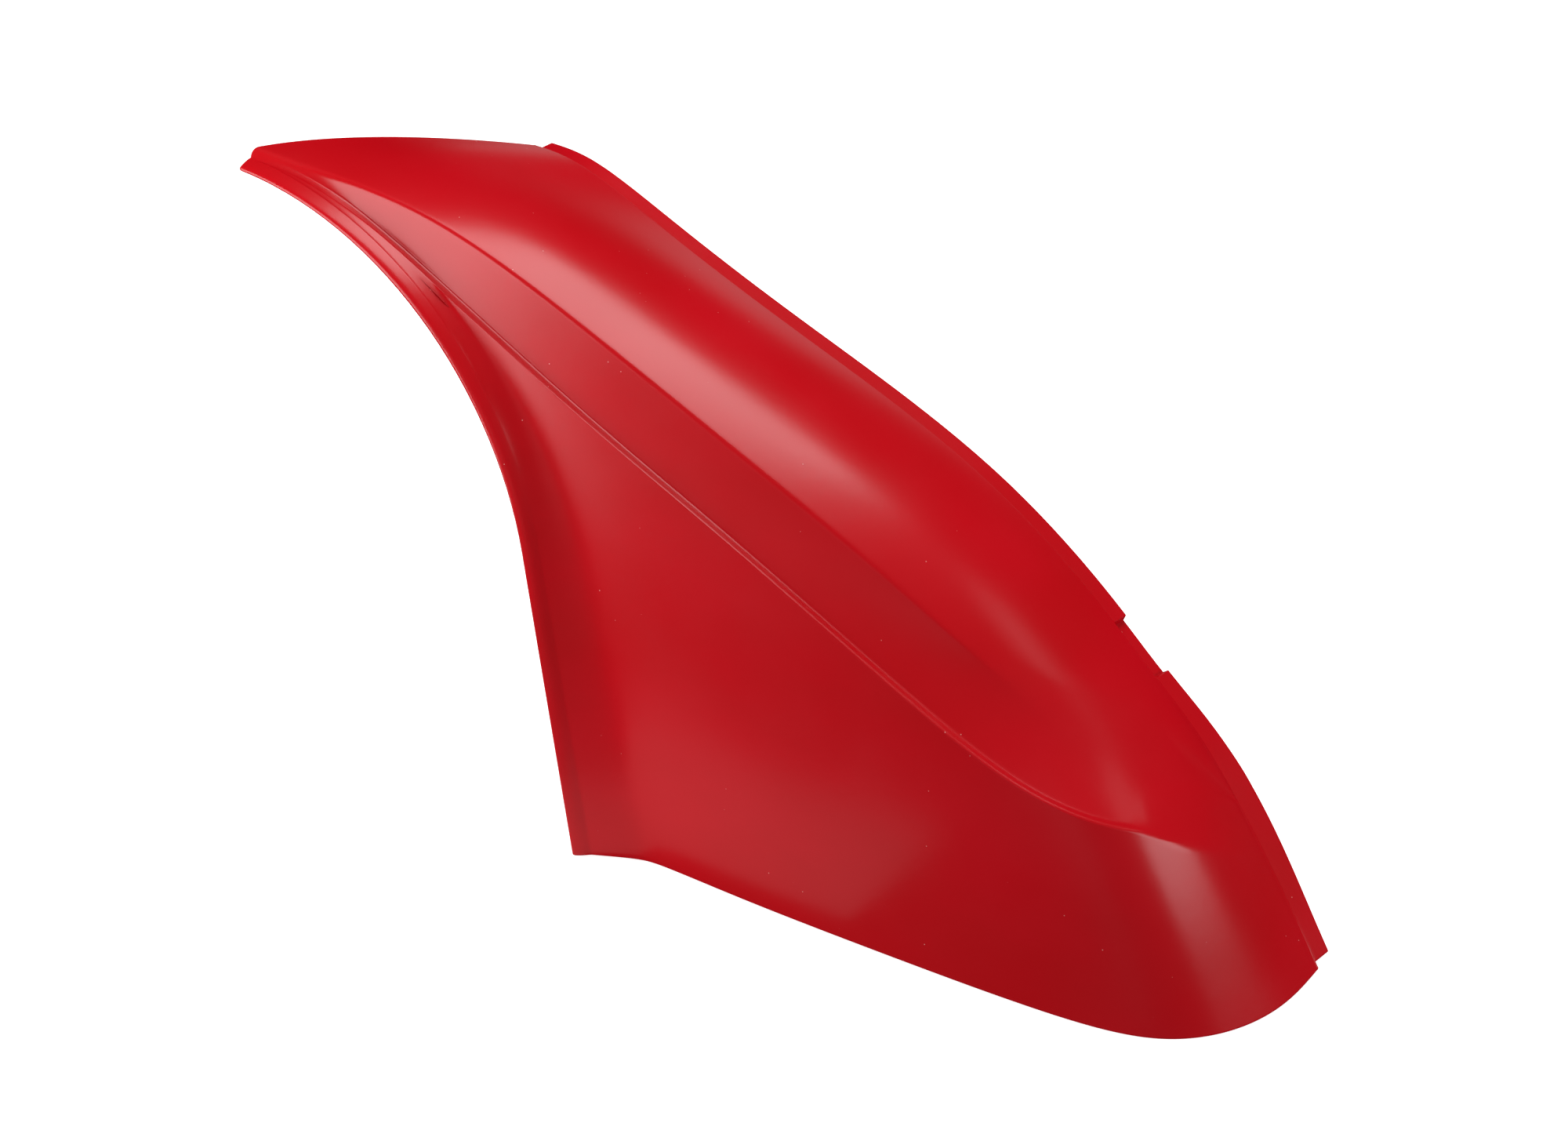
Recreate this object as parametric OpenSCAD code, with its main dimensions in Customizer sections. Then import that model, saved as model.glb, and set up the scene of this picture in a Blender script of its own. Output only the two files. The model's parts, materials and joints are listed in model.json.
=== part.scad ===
// Left-hand rear wing panel with its hidden quick-release fixings.
// +X points rearward, +Y inboard and +Z up. The panel is laid out from the foot of its
// wheel arch, then moved so that the origin is under the middle of the whole part.

/* [Wheel arch] */
// Radius of the arch edge round the tyre
arch_r = 169; // [165:1:172]
// Height of the arch centre above the bottom edge
arch_z = 115; // [112:1:118]
// Distance of the arch centre ahead of the foot of the arch
arch_ahead = 193; // [191:1:195]
// Lean of the straight part of the arch edge, in degrees
arch_lean = 10; // [9:1:11]
// Width of the rolled lip along the arch edge
lip_w = 5.5; // [5:0.5:7]
// Height of the rolled lip at its front end
lip_h = 4.5; // [3:0.5:5]
// Width of the flared band beside the arch
flare_w = 22; // [18:1:28]

/* [Skin] */
// Thickness of the moulded skin
skin_t = 3; // [2.5:0.5:3.5]
// Width of the step between the scallop and the skirt
ledge_w = 4; // [3:0.5:5]
// Height of the crown of the deck
crown = 14; // [8:1:18]

/* [Seam flange] */
// Width of the flange that slips under the neighbouring panel
flange_w = 12; // [10:1:14]
// Extra width of the flange at the corner of the tail
flange_ear = 4; // [0:1:5]
// Depth of the joggle between the skin and the flange
joggle = 3; // [2:0.5:3.5]
// Extra depth of the pocket in the flange
pocket_d = 3; // [2:0.5:4]

/* [Fixings] */
// Diameter of the bonded stud plates
plate_d = 28; // [25:1:30]
// Diameter of the bonded studs
stud_d = 6; // [5:1:6]
// Distance between the two studs of a bracket
stud_gap = 42; // [40:1:44]
// Thickness of the bracket sheet
sheet_t = 2; // [1.5:0.5:2.5]
// Diameter of the quarter-turn pins
pin_d = 8; // [7:1:8]

/* [Hidden] */

centre_shift = [-65, -70, 0];
front_x = -183;
skin_red = [0.75, 0.0, 0.06];

// Control points of the four lines that carry the skin, front to tail
seam_line = [[-124, 126, 270], [-98, 126, 270], [-48, 126, 248], [12, 126, 225],
             [75, 126, 204], [135, 126, 179], [185, 126, 145], [215, 126, 118],
             [240, 126, 98], [256, 126, 80], [265, 126, 68]];
crease_line = [[-183, 7, 293], [-150, 14, 288], [-90, 21, 282], [-15, 27, 249],
               [65, 33, 210], [130, 39, 178], [180, 47, 146], [215, 60, 122],
               [241, 82, 106], [257, 105, 86], [265, 126, 68]];
ledge_line = [arch_side(1), [-145, 8, 286], [-85, 12, 254], [-8, 16, 211],
              [70, 20, 175], [145, 23, 137], [210, 27, 104], [252, 38, 91],
              [274, 68, 82], [276, 98, 73], [265, 126, 68]];
hem_line = [arch_side(0), [22, 18, 0], [48, 18, 0], [88, 18, 0],
            [138, 20, 0], [195, 23, 0], [248, 27, 0], [288, 36, 0],
            [309, 62, 0], [315, 94, 0], [310, 126, 0]];

// Point at u (0 front, 1 tail) on the cubic B-spline of a list of control points
function widen(p) = concat([2 * p[0] - p[1]], p, [2 * p[len(p) - 1] - p[len(p) - 2]]);
function blend4(e, k, f) =
    (pow(1 - f, 3) * e[k] + (3 * pow(f, 3) - 6 * f * f + 4) * e[k + 1]
     + (-3 * pow(f, 3) + 3 * f * f + 3 * f + 1) * e[k + 2] + pow(f, 3) * e[k + 3]) / 6;
function spline(p, u) =
    let (n = len(p) - 1, t = u * n, k = min(floor(t), n - 1)) blend4(widen(p), k, t - k);
function mix(a, b, f) = a + (b - a) * f;
function unit(v) = v / norm(v);
function ease(x) = let (t = max(0, min(1, x))) t * t * (3 - 2 * t);

// Arch edge: a straight foot that runs into an arc, moved outward by off; v is 0 at the
// foot and 1 at the front end
function arc_end(r) = acos((front_x + arch_ahead) / r);
function straight_len(r) = (arch_z + r * sin(arch_lean)) / cos(arch_lean);
function arc_len(r) = r * (arc_end(r) - arch_lean) * PI / 180;
function on_straight(r, s) =
    [-arch_ahead + r * cos(arch_lean) + (straight_len(r) - s) * sin(arch_lean), 0,
     arch_z + r * sin(arch_lean) - (straight_len(r) - s) * cos(arch_lean)];
function on_arc(r, s) =
    let (a = arch_lean + (s - straight_len(r)) / r * 180 / PI)
    [-arch_ahead + r * cos(a), 0, arch_z + r * sin(a)];
function arch_edge(v, off) =
    let (r = arch_r + off, s = v * (straight_len(r) + arc_len(r)))
    s < straight_len(r) ? on_straight(r, s) : on_arc(r, s);

// Side of the skirt at the arch: its depth behind the lip, and the lip's own section
function lip_root_y(v) = mix(5, 4, v);
function base_y(v) = mix(18, 4, v * v);
function lip_point(v, k) =
    let (e = arch_edge(v, lip_w * k), bead = lip_h * (0.1 + 0.9 * v * v))
    e + [0, lip_root_y(v) * k - bead * sin(180 * k), 0];

// Flared band: 1 at the lip, fading to nothing over flare_w
function fade(a) = (a + sqrt(a * a + 0.09)) / (1 + sqrt(1.09));
function flare(u) = fade(1 - (spline(hem_line, u)[0] - hem_line[0][0]) / flare_w);

// Skirt between the hem and the ledge; v is 0 at the hem and 1 at the ledge
function seam_foot(v) = mix(hem_line[10], seam_line[10], v) + [6 * v * (1 - v), 0, 0];
function arch_side(v) = arch_edge(v, lip_w) + [0, base_y(v), 0];
function skirt(u, v) =
    let (from_arch = arch_side(v) - mix(hem_line[0], ledge_line[0], v),
         from_seam = seam_foot(v) - mix(hem_line[10], ledge_line[10], v))
    mix(spline(hem_line, u), spline(ledge_line, u), v)
    + pow(1 - u, 3) * from_arch + pow(u, 3) * from_seam
    - [0, (base_y(v) - lip_root_y(v)) * flare(u), 0];

// Ledge, scallop wall and deck above the skirt
function tail_turn(u) = max(0, u - 0.55) / 0.45;
function out_dir(u) = [sin(75 * tail_turn(u)), -cos(75 * tail_turn(u)), 0];
function up_dir(u) = [sin(50 * u), 0, cos(50 * u)];
function ledge_fade(u) = min(1, u / 0.12) * min(1, (1 - u) / 0.15);
function ledge_inner(u) = spline(ledge_line, u) - ledge_w * ledge_fade(u) * out_dir(u);
function hollow(u) = mix(0.03, 0.12, ease((u - 0.25) / 0.35));
function wall(u, f) =
    let (a = ledge_inner(u), b = spline(crease_line, u),
         q = mix(a, b, 0.5) - hollow(u) * norm(b - a) * out_dir(u))
    (1 - f) * (1 - f) * a + 2 * f * (1 - f) * q + f * f * b;
function crown_at(u) = crown * mix(0.4, 1, ease(u / 0.3));
function deck(u, f) =
    let (a = spline(crease_line, u), b = spline(seam_line, u),
         rise = crown_at(u) * norm(b - a) / 100 * up_dir(u),
         p = mix(a, b, 0.3) + rise,
         q = mix(a, b, 0.7) + 0.6 * rise)
    pow(1 - f, 3) * a + 3 * f * pow(1 - f, 2) * p + 3 * f * f * (1 - f) * q + pow(f, 3) * b;

// Outer skin as a grid: i runs front to tail, j runs from the hem up to the seam
cols = 40;
skirt_rows = 10;
wall_rows = 3;
deck_rows = 6;
lip_cols = 3;
ledge_row = skirt_rows;
rows = skirt_rows + 1 + wall_rows + deck_rows;
function col_u(i) = pow(i / cols, 1.25);
function skin(i, j) =
    let (u = col_u(i))
    j <= skirt_rows ? skirt(u, j / skirt_rows)
    : j <= skirt_rows + 1 + wall_rows ? wall(u, (j - skirt_rows - 1) / wall_rows)
    : deck(u, (j - skirt_rows - 1 - wall_rows) / deck_rows);
grid = [for (i = [0:cols]) [for (j = [0:rows]) skin(i, j)]];

// Normals from neighbouring points; the tail end of the ledge is one shared point
tail_normal = unit([0.72, 0.42, 0.55]);
function clampi(i, hi) = max(0, min(hi, i));
function raw_normal(i, j) =
    cross(grid[clampi(i + 1, cols)][j] - grid[clampi(i - 1, cols)][j],
          grid[i][clampi(j + 1, rows)] - grid[i][clampi(j - 1, rows)]);
function normal(i, j) =
    i == cols && j >= ledge_row ? tail_normal : unit(raw_normal(i, j));
normals = [for (i = [0:cols]) [for (j = [0:rows]) normal(i, j)]];

// Path of the seam: along the deck to the tail point, then down the tail to the hem. The
// flange runs straight inboard from it, one joggle deep.
seam_steps = cols + ledge_row;
function path_i(p) = min(p, cols);
function path_j(p) = p <= cols ? rows : seam_steps - p;
function path_point(p) = grid[path_i(p)][path_j(p)];
function path_normal(p) = normals[path_i(p)][path_j(p)];
function path_out(p) = let (n = path_normal(p)) unit([n[0], 0, n[2]]);
function in_pocket(p) =
    let (x = path_point(p)[0], z = path_point(p)[2]) x > 199 && x < 221 && z > 90 ? 1 : 0;
function near_tail(p) = pow(cos(90 * max(-1, min(1, (p - cols) / ledge_row))), 2);
function flange_edge(p) = flange_w + flange_ear * near_tail(p);
function flange_point(p, w, d) =
    path_point(p) + [0, w, 0] - (d + pocket_d * in_pocket(p)) * path_out(p)
    + [0, 0, 4 * max(0, p - cols) / ledge_row];

// Inner face of the skin under a point; along the hem it stays level with the bottom edge
function inner(p, n, j) =
    j == 0 ? [p[0] - skin_t * n[0], p[1] - skin_t * n[1], 0] : p - skin_t * n;

// Vertex numbers: the main grid, then the lip, then the two rows of the flange
lip_start = (cols + 1) * (rows + 1);
flange_start = lip_start + lip_cols * (skirt_rows + 1);
sheet_count = flange_start + 2 * (seam_steps + 1);
function main_id(i, j) = i * (rows + 1) + (i == cols ? min(j, ledge_row) : j);
function lip_id(k, j) =
    k == lip_cols ? main_id(0, j) : lip_start + k * (skirt_rows + 1) + j;
function flange_id(q, p) =
    q == 0 ? main_id(path_i(p), path_j(p)) : flange_start + (q - 1) * (seam_steps + 1) + p;

main_out = [for (i = [0:cols]) for (j = [0:rows]) grid[i][j]];
lip_out = [for (k = [0:lip_cols - 1]) for (j = [0:skirt_rows])
           lip_point(j / skirt_rows, k / lip_cols)];
flange_out = [for (q = [1:2]) for (p = [0:seam_steps])
              flange_point(p, q == 1 ? 2 : flange_edge(p), joggle)];
main_in = [for (i = [0:cols]) for (j = [0:rows]) inner(grid[i][j], normals[i][j], j)];
lip_in = [for (k = [0:lip_cols - 1]) for (j = [0:skirt_rows])
          inner(lip_point(j / skirt_rows, k / lip_cols),
                lip_normal(j / skirt_rows, k / lip_cols), j)];
flange_in = [for (q = [1:2]) for (p = [0:seam_steps])
             flange_point(p, q == 1 ? 2 : flange_edge(p), joggle + skin_t)];
function lip_normal(v, k) = mix([0, -1, 0], normals[0][round(v * skirt_rows)], k);

// Faces: each quad of the sheet twice, outer and inner, and a rim along every free edge
function quad_out(a, b, c, d) = [[a, b, c], [a, c, d]];
function quad_in(a, b, c, d) =
    let (n = sheet_count) [[a + n, c + n, b + n], [a + n, d + n, c + n]];
function quad_rim(a, b) = let (n = sheet_count) [[a, b + n, a + n], [a, b, b + n]];
quads = concat(
    [for (i = [0:cols - 1]) for (j = [0:rows - 1])
     [main_id(i, j), main_id(i, j + 1), main_id(i + 1, j + 1), main_id(i + 1, j)]],
    [for (k = [0:lip_cols - 1]) for (j = [0:skirt_rows - 1])
     [lip_id(k, j), lip_id(k, j + 1), lip_id(k + 1, j + 1), lip_id(k + 1, j)]],
    [for (q = [0:1]) for (p = [0:seam_steps - 1])
     [flange_id(q, p), flange_id(q + 1, p), flange_id(q + 1, p + 1), flange_id(q, p + 1)]]);
edge_loop = concat(
    [for (k = [0:lip_cols - 1]) lip_id(k, 0)],
    [for (i = [0:cols - 1]) main_id(i, 0)],
    [for (q = [0:2]) flange_id(q, seam_steps)],
    [for (p = [seam_steps - 1:-1:0]) flange_id(2, p)],
    [flange_id(1, 0)],
    [for (j = [rows:-1:ledge_row + 1]) main_id(0, j)],
    [for (k = [lip_cols:-1:0]) lip_id(k, ledge_row)],
    [for (j = [ledge_row - 1:-1:1]) lip_id(0, j)]);
function solid_faces(list) = [for (set = list) for (f = set) if (distinct(f)) f];
function distinct(f) = f[0] != f[1] && f[1] != f[2] && f[0] != f[2];
shell_faces = solid_faces(concat(
    [for (q = quads) quad_out(q[0], q[1], q[2], q[3])],
    [for (q = quads) quad_in(q[0], q[1], q[2], q[3])],
    [for (e = [0:len(edge_loop) - 1])
     quad_rim(edge_loop[e], edge_loop[(e + 1) % len(edge_loop)])]));
shell_points = concat(main_out, lip_out, flange_out, main_in, lip_in, flange_in);

module wing_shell() {
    color(skin_red)
        translate(centre_shift)
            polyhedron(points = shell_points, faces = shell_faces, convexity = 10);
}

// Three fixings, two under the deck and one behind the skirt: where each sits on the inside
// of the skin, and how its pad is turned
function seat(p, n) = p - skin_t * n;
deck_lean = [24.5, 29.3];
seats = [seat(deck(0.35, 0.35), [sin(deck_lean[0]), 0, cos(deck_lean[0])]),
         seat(deck(0.5, 0.46), [sin(deck_lean[1]), 0, cos(deck_lean[1])]),
         seat(skirt(0.26, 0.25), [0, -1, 0])];
pad_turn = [[180, deck_lean[0], 0], [180, deck_lean[1], 0], [-90, 0, 0]];

// Stack heights from the skin inward
pad_sink = 0.3;
pad_t = 3;
plate_t = 1.5;
rubber_t = 3;
washer_t = 1.5;
nut_h = 5;
insert_h = 1.4;
stud_l = 18;
plate_z = pad_t;
rubber_z = plate_z + plate_t;
sheet_z = rubber_z + rubber_t;
washer_z = sheet_z + sheet_t;
nut_z = washer_z + washer_t;
insert_z = nut_z + nut_h;

// Bracket: a foot across the two studs, bent inboard into a round-ended tab for the pin.
// Under the deck the tab hangs from the foot. Behind the skirt it is a step: a riser first,
// then a tab that stands up from it.
foot_l = 74;
foot_w = 30;
tab_r = 15;
tab_drop = 28;
riser_h = 26;
step_reach = 35;
bend_r = 2;
bend_steps = 6;
bush_d = 14;
bush_flange_d = 19;
bush_flange_t = 1.5;
spring_t = 0.8;
play = 0.05;
gap = 0.3;

// Pin, measured along its axis from the front face of the tab
pin_head_d = 18;
pin_head_t = 5;
head_x = -bush_flange_t - spring_t - gap;
pin_reach = 24;
pin_slot_l = 8;
pin_slot_w = 2.5;
clip_d = 13;
clip_t = 1;
clip_x = sheet_t + bush_flange_t + gap;
bail_wire = 2.4;
bail_r = 10.8;
bail_leg = 5;
bail_x = head_x - pin_head_t / 2;

function turn_y(v, a) = [v[0] * cos(a) + v[2] * sin(a), v[1], -v[0] * sin(a) + v[2] * cos(a)];
function turn_x(v, a) = [v[0], v[1] * cos(a) - v[2] * sin(a), v[1] * sin(a) + v[2] * cos(a)];
function turned(v, r) = turn_y(turn_x(v, r[0]), r[1]);
pin_from_seat = [[0, sheet_t - foot_w / 2, washer_z + tab_drop],
                 [0, sheet_t - foot_w / 2, washer_z + tab_drop],
                 [0, -step_reach, washer_z + riser_h - sheet_t]];
function pin_centre(i) = seats[i] + turned(pin_from_seat[i], pad_turn[i]);

module on_pad(i) {
    translate(centre_shift + seats[i])
        rotate(pad_turn[i])
            children();
}

module on_studs() {
    for (i = [0:2])
        on_pad(i)
            for (side = [-1, 1])
                translate([side * stud_gap / 2, 0, 0])
                    children();
}

// The pins point inboard; here z runs along the pin from the tab's outboard face
module on_pin(i) {
    translate(centre_shift + pin_centre(i))
        rotate([0, 90, 90])
            children();
}

module ring(r, hole_r, h) {
    difference() {
        cylinder(r = r, h = h, $fn = 64);
        translate([0, 0, -1])
            cylinder(r = hole_r, h = h + 2, $fn = 64);
    }
}

module bond_pads() {
    color([0.12, 0.12, 0.13])
        on_studs()
            translate([0, 0, -pad_sink])
                cylinder(d = plate_d, h = pad_sink + pad_t, $fn = 64);
}

module stud_plates() {
    color([0.72, 0.73, 0.75])
        on_studs()
            translate([0, 0, plate_z]) {
                difference() {
                    cylinder(d = plate_d, h = plate_t, $fn = 64);
                    for (a = [0:45:315])
                        rotate(a)
                            translate([plate_d * 0.36, 0, -1])
                                cylinder(d = 3.5, h = plate_t + 2, $fn = 32);
                }
                cylinder(d = stud_d, h = stud_l, $fn = 48);
            }
}

module rubber_washers() {
    color([0.06, 0.06, 0.06])
        on_studs()
            translate([0, 0, rubber_z])
                ring(9, stud_d / 2 + 0.2, rubber_t);
}

module penny_washers() {
    color([0.78, 0.78, 0.8])
        on_studs()
            translate([0, 0, washer_z])
                ring(9, stud_d / 2 + 0.2, washer_t);
}

module lock_nuts() {
    color([0.7, 0.71, 0.73])
        on_studs()
            translate([0, 0, nut_z])
                difference() {
                    union() {
                        cylinder(d = 11.5, h = nut_h, $fn = 6);
                        cylinder(d = 9.6, h = nut_h + insert_h, $fn = 48);
                    }
                    translate([0, 0, -1])
                        cylinder(r = stud_d / 2 + play, h = nut_h + 2, $fn = 48);
                    translate([0, 0, nut_h])
                        cylinder(d = 8, h = insert_h + 1, $fn = 48);
                }
}

module nut_inserts() {
    color([0.15, 0.3, 0.65])
        on_studs()
            translate([0, 0, insert_z])
                ring(4, stud_d / 2 + play, insert_h);
}

// Side views of the two kinds of bracket: across the foot, then away from the skin
function bend(c, r, from, to) =
    [for (k = [0:bend_steps])
     let (a = mix(from, to, k / bend_steps)) c + r * [cos(a), sin(a)]];
foot_bend = [foot_w / 2 - sheet_t - bend_r, washer_z + bend_r];
step_bend = [foot_w / 2 + bend_r, washer_z + riser_h - sheet_t - bend_r];
tab_tip = washer_z + tab_drop + tab_r + 1;
step_tip = step_reach + tab_r + 1;
tab_side = concat([[-foot_w / 2, sheet_z]],
                  bend(foot_bend, bend_r + sheet_t, -90, 0),
                  [[foot_w / 2, tab_tip], [foot_w / 2 - sheet_t, tab_tip]],
                  bend(foot_bend, bend_r, 0, -90),
                  [[-foot_w / 2, washer_z]]);
step_side = concat([[-foot_w / 2, sheet_z]],
                   bend(foot_bend, bend_r + sheet_t, -90, 0),
                   bend(step_bend, bend_r, 180, 90),
                   [[step_tip, washer_z + riser_h - sheet_t], [step_tip, washer_z + riser_h]],
                   bend(step_bend, bend_r + sheet_t, 90, 180),
                   bend(foot_bend, bend_r, 0, -90),
                   [[-foot_w / 2, washer_z]]);

// Front view: as wide as the foot up to the shoulder, then tapered to the round end
function end_angle(shoulder, centre) =
    atan2(shoulder - centre, foot_l / 2)
    + acos(tab_r / norm([foot_l / 2, centre - shoulder]));
function tapered(low, shoulder, centre) =
    let (a = end_angle(shoulder, centre))
    concat([[-foot_l / 2, low], [foot_l / 2, low], [foot_l / 2, shoulder]],
           [for (k = [0:4 * bend_steps])
            let (t = mix(a, 180 - a, k / (4 * bend_steps)))
            [tab_r * cos(t), centre + tab_r * sin(t)]],
           [[-foot_l / 2, shoulder]]);

module hanging_sheet() {
    intersection() {
        rotate([0, 0, -90])
            rotate([90, 0, 0])
                linear_extrude(height = foot_l + 2, center = true)
                    polygon(tab_side);
        rotate([90, 0, 0])
            linear_extrude(height = 2 * foot_w, center = true)
                polygon(tapered(0, washer_z + 3, washer_z + tab_drop));
    }
}

module stepped_sheet() {
    intersection() {
        rotate([0, 0, -90])
            rotate([90, 0, 0])
                linear_extrude(height = foot_l + 2, center = true)
                    polygon(step_side);
        mirror([0, 1, 0])
            linear_extrude(height = 2 * (washer_z + riser_h))
                polygon(tapered(-foot_w, foot_w / 2 + 3, step_reach));
    }
}

module bracket(i) {
    difference() {
        on_pad(i)
            if (i < 2) hanging_sheet();
            else stepped_sheet();
        on_pad(i)
            for (side = [-1, 1])
                translate([side * stud_gap / 2, 0, sheet_z - 1])
                    cylinder(d = stud_d + 0.6, h = sheet_t + 2, $fn = 48);
        on_pin(i)
            translate([0, 0, -1])
                cylinder(d = bush_d, h = sheet_t + 2, $fn = 64);
    }
}

module front_bracket() {
    color([0.66, 0.67, 0.7])
        bracket(0);
}

module rear_bracket() {
    color([0.66, 0.67, 0.7])
        bracket(1);
}

module skirt_bracket() {
    color([0.66, 0.67, 0.7])
        bracket(2);
}

module pin_bushes() {
    color([0.9, 0.89, 0.84])
        for (i = [0:2])
            on_pin(i)
                difference() {
                    union() {
                        translate([0, 0, -bush_flange_t])
                            cylinder(d = bush_flange_d, h = bush_flange_t, $fn = 64);
                        cylinder(d = bush_d, h = sheet_t, $fn = 64);
                        translate([0, 0, sheet_t])
                            cylinder(d = bush_d + 2, h = bush_flange_t, $fn = 64);
                    }
                    translate([0, 0, -3])
                        cylinder(r = pin_d / 2 + play, h = 12, $fn = 64);
                }
}

module spring_washers() {
    color([0.5, 0.5, 0.52])
        for (i = [0:2])
            on_pin(i)
                translate([0, 0, -bush_flange_t - spring_t])
                    ring(7.5, pin_d / 2 + 0.3, spring_t);
}

module pin(i) {
    on_pin(i)
        difference() {
            union() {
                translate([0, 0, head_x - pin_head_t])
                    cylinder(d = pin_head_d, h = pin_head_t, $fn = 64);
                translate([0, 0, head_x])
                    cylinder(d = pin_d, h = pin_reach - head_x, $fn = 64);
            }
            translate([0, 0, clip_x - play])
                ring(pin_d, pin_d / 2 - 0.8, clip_t + 2 * play);
            translate([-pin_d, -pin_slot_w / 2, pin_reach - pin_slot_l])
                cube([2 * pin_d, pin_slot_w, pin_slot_l + 1]);
            translate([0, pin_head_d, bail_x])
                rotate([90, 0, 0])
                    cylinder(r = bail_wire / 2 + play, h = 2 * pin_head_d, $fn = 32);
        }
}

module front_pin() {
    color([0.75, 0.75, 0.78])
        pin(0);
}

module rear_pin() {
    color([0.75, 0.75, 0.78])
        pin(1);
}

module skirt_pin() {
    color([0.75, 0.75, 0.78])
        pin(2);
}

module clip(i) {
    on_pin(i)
        translate([0, 0, clip_x])
            difference() {
                ring(clip_d / 2, pin_d / 2 - 0.75, clip_t);
                translate([0, -1.5, -1])
                    cube([clip_d, 3, clip_t + 2]);
            }
}

module front_clip() {
    color([0.35, 0.35, 0.37])
        clip(0);
}

module rear_clip() {
    color([0.35, 0.35, 0.37])
        clip(1);
}

module skirt_clip() {
    color([0.35, 0.35, 0.37])
        clip(2);
}

module bail(i) {
    on_pin(i)
        translate([0, 0, bail_x]) {
            translate([bail_leg, 0, 0])
                rotate(-90)
                    rotate_extrude(angle = 180, $fn = 96)
                        translate([bail_r, 0])
                            circle(d = bail_wire, $fn = 24);
            for (side = [-1, 1]) {
                translate([0, side * bail_r, 0])
                    rotate([0, 90, 0])
                        cylinder(d = bail_wire, h = bail_leg, $fn = 24);
                translate([0, side * bail_r, 0])
                    sphere(d = bail_wire, $fn = 24);
                translate([0, side * bail_r, 0])
                    rotate([side * 90, 0, 0])
                        cylinder(d = bail_wire, h = 5.8, $fn = 24);
            }
        }
}

module front_bail() {
    color([0.78, 0.78, 0.8])
        bail(0);
}

module rear_bail() {
    color([0.78, 0.78, 0.8])
        bail(1);
}

module skirt_bail() {
    color([0.78, 0.78, 0.8])
        bail(2);
}

wing_shell();
bond_pads();
stud_plates();
rubber_washers();
penny_washers();
lock_nuts();
nut_inserts();
front_bracket();
rear_bracket();
skirt_bracket();
pin_bushes();
spring_washers();
front_pin();
rear_pin();
skirt_pin();
front_clip();
rear_clip();
skirt_clip();
front_bail();
rear_bail();
skirt_bail();
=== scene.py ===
import json
import math

import bpy
import numpy as np
from mathutils import Euler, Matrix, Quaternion, Vector


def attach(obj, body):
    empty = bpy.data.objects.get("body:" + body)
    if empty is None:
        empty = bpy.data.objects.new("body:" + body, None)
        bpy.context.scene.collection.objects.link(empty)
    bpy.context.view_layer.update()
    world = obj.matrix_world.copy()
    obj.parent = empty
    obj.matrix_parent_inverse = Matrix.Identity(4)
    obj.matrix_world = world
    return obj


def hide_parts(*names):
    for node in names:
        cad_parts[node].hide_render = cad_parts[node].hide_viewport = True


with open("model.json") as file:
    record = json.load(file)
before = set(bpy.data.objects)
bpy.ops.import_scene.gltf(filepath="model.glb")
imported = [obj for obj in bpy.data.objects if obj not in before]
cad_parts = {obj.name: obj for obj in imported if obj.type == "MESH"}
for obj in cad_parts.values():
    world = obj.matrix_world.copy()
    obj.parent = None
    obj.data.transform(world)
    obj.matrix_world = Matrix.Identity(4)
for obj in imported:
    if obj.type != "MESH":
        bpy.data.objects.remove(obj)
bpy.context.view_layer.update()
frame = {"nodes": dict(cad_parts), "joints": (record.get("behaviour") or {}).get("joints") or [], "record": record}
scene = bpy.context.scene

mm = 0.001

shot = {
    "target": (-0.0045, 0.0030, 0.133),
    "azimuth": 38.0,
    "elevation": 28.0,
    "distance": 2.093,
    "lens": 110.0,
    "sensor": 36.0,
}


def around(azimuth, elevation, distance, centre):
    a, e = math.radians(azimuth), math.radians(elevation)
    out = Vector((math.sin(a) * math.cos(e), -math.cos(a) * math.cos(e), math.sin(e)))
    return Vector(centre) + distance * out


def aimed(obj, target, roll=0.0):
    facing = (Vector(target) - obj.location).to_track_quat("-Z", "Y")
    obj.rotation_euler = (facing @ Quaternion((0.0, 0.0, 1.0), math.radians(roll))).to_euler()


def addCamera():
    cam = bpy.data.objects.new("camera", bpy.data.cameras.new("camera"))
    scene.collection.objects.link(cam)
    cam.data.lens = shot["lens"]
    cam.data.sensor_width = shot["sensor"]
    cam.data.clip_start = 0.01
    cam.data.clip_end = 50.0
    cam.location = around(shot["azimuth"], shot["elevation"], shot["distance"], shot["target"])
    aimed(cam, shot["target"])
    scene.camera = cam


partMiddle = (0.0, 0.0, 0.13)

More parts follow.
